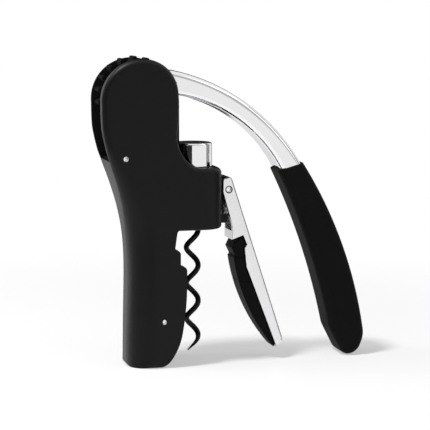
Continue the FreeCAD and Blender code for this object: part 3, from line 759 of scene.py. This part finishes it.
def makeFloor():
    s = studio
    shape = bmesh.new()
    bmesh.ops.create_circle(shape, cap_ends=True, segments=96, radius=s["floorRadius"])
    finish = Finish("studio floor", Roughness=0.35)
    finish.set("Base Color", (*grey(s["floor"]), 1))
    reach = finish.node("VectorMath", {"operation": "LENGTH"}, {0: finish.place}, output="Value")
    spread = {"From Min": s["fadeFrom"], "From Max": s["fadeTo"], "To Min": s["nearGlow"], "To Max": 1.0}
    glow = finish.node("MapRange", {"interpolation_type": "SMOOTHSTEP"}, {"Value": reach, **spread})
    white = finish.node("Emission", None, {"Color": (1, 1, 1, 1), "Strength": 1.0})
    lit = Wire(finish, finish.shader.outputs[0])
    mixed = finish.node("MixShader", None, {0: seenDirectly(finish) * glow, 1: lit, 2: white})
    finish.feed(finish.tree.nodes["Material Output"].inputs["Surface"], mixed)
    addStage("floor", shape, finish)


# cards that only show in reflections, as painted reflections: dark bands from the dark cards, a grey band
# from the front card and a painted highlight from the glow card, which lights nothing; angles from the
# front towards +X and heights in metres
cards = {
    "leftA": {"start": -104, "end": -66, "radius": 0.5, "low": 0.0, "high": 0.5, "level": 0.02},
    "leftB": {"start": -63, "end": -42, "radius": 0.5, "low": 0.0, "high": 0.5, "level": 0.01},
    "leftC": {"start": -39, "end": -10, "radius": 0.5, "low": 0.0, "high": 0.5, "level": 0.03},
    "right": {"start": 78, "end": 92, "radius": 0.5, "low": 0.0, "high": 0.5, "level": 0.02},
    "back": {"start": 140, "end": 196, "radius": 0.62, "low": 0.0, "high": 2.2, "level": 0.03},
    # painted highlight: a card brighter than white, seen only in reflections, for the black shell's left
    # rim
    "glow": {"start": -150, "end": -110, "radius": 0.62, "low": 0.0, "high": 0.7, "level": 3.2},
    "front": {"start": -15, "end": 60, "radius": 0.8, "low": 0.2, "high": 0.7, "level": 0.55},
}


def makeCards():
    for name, s in cards.items():
        finish = Finish(name + " card", Roughness=1.0, Specular_IOR_Level=0.0, Emission_Strength=1.0)
        finish.set("Base Color", (0, 0, 0, 1))
        finish.set("Emission Color", (*grey(s["level"]), 1))
        shape = bmesh.new()
        turn = math.radians(s["start"])
        foot = Vector((math.sin(turn), -math.cos(turn), 0)) * s["radius"]
        low = shape.verts.new(foot + Vector((0, 0, s["low"])))
        high = shape.verts.new(foot + Vector((0, 0, s["high"])))
        rod = shape.edges.new((low, high))
        sweep = math.radians(s["end"] - s["start"])
        bmesh.ops.spin(shape, geom=[low, high, rod], axis=(0, 0, 1), cent=(0, 0, 0), angle=sweep, steps=24)
        card = addStage(name + "Card", shape, finish)
        # each card is a painted reflection: hidden from the camera, from light falling on surfaces and from
        # shadows
        card.visible_camera = False
        card.visible_diffuse = False
        card.visible_shadow = False


lamps = {
    "key": {"at": (-0.65, -0.24, 1.5), "size": 0.22, "watts": 25},
    "side": {"at": (-1.3, 0.35, 0.75), "size": 0.7, "watts": 6},
    "fill": {"at": (1.2, -0.7, 1.0), "size": 0.9, "watts": 2.5},
}


def makeLamps():
    aim = Vector((0.03, 0, 0.08))
    for name, s in lamps.items():
        data = bpy.data.lights.new(name, "AREA")
        data.size = s["size"]
        data.energy = s["watts"]
        lamp = bpy.data.objects.new(name, data)
        bpy.context.scene.collection.objects.link(lamp)
        lamp.location = s["at"]
        lamp.rotation_euler = (aim - lamp.location).to_track_quat("-Z", "Y").to_euler()


def makeWorld():
    world = bpy.data.worlds.new("studio")
    world.use_nodes = True
    bpy.context.scene.world = world
    tree = world.node_tree
    rays = tree.nodes.new("ShaderNodeLightPath")
    seen = tree.nodes.new("ShaderNodeMath")
    seen.operation = "MAXIMUM"
    tree.links.new(rays.outputs["Is Camera Ray"], seen.inputs[0])
    tree.links.new(rays.outputs["Is Glossy Ray"], seen.inputs[1])
    level = tree.nodes.new("ShaderNodeMix")
    level.inputs[2].default_value = studio["room"]
    level.inputs[3].default_value = 1.0
    tree.links.new(seen.outputs[0], level.inputs[0])
    backdrop = tree.nodes["Background"]
    backdrop.inputs["Color"].default_value = (1, 1, 1, 1)
    tree.links.new(level.outputs[0], backdrop.inputs["Strength"])


makeFloor()
makeCards()
makeLamps()
makeWorld()
bpy.context.scene.view_settings.view_transform = "Standard"
print("studio made")
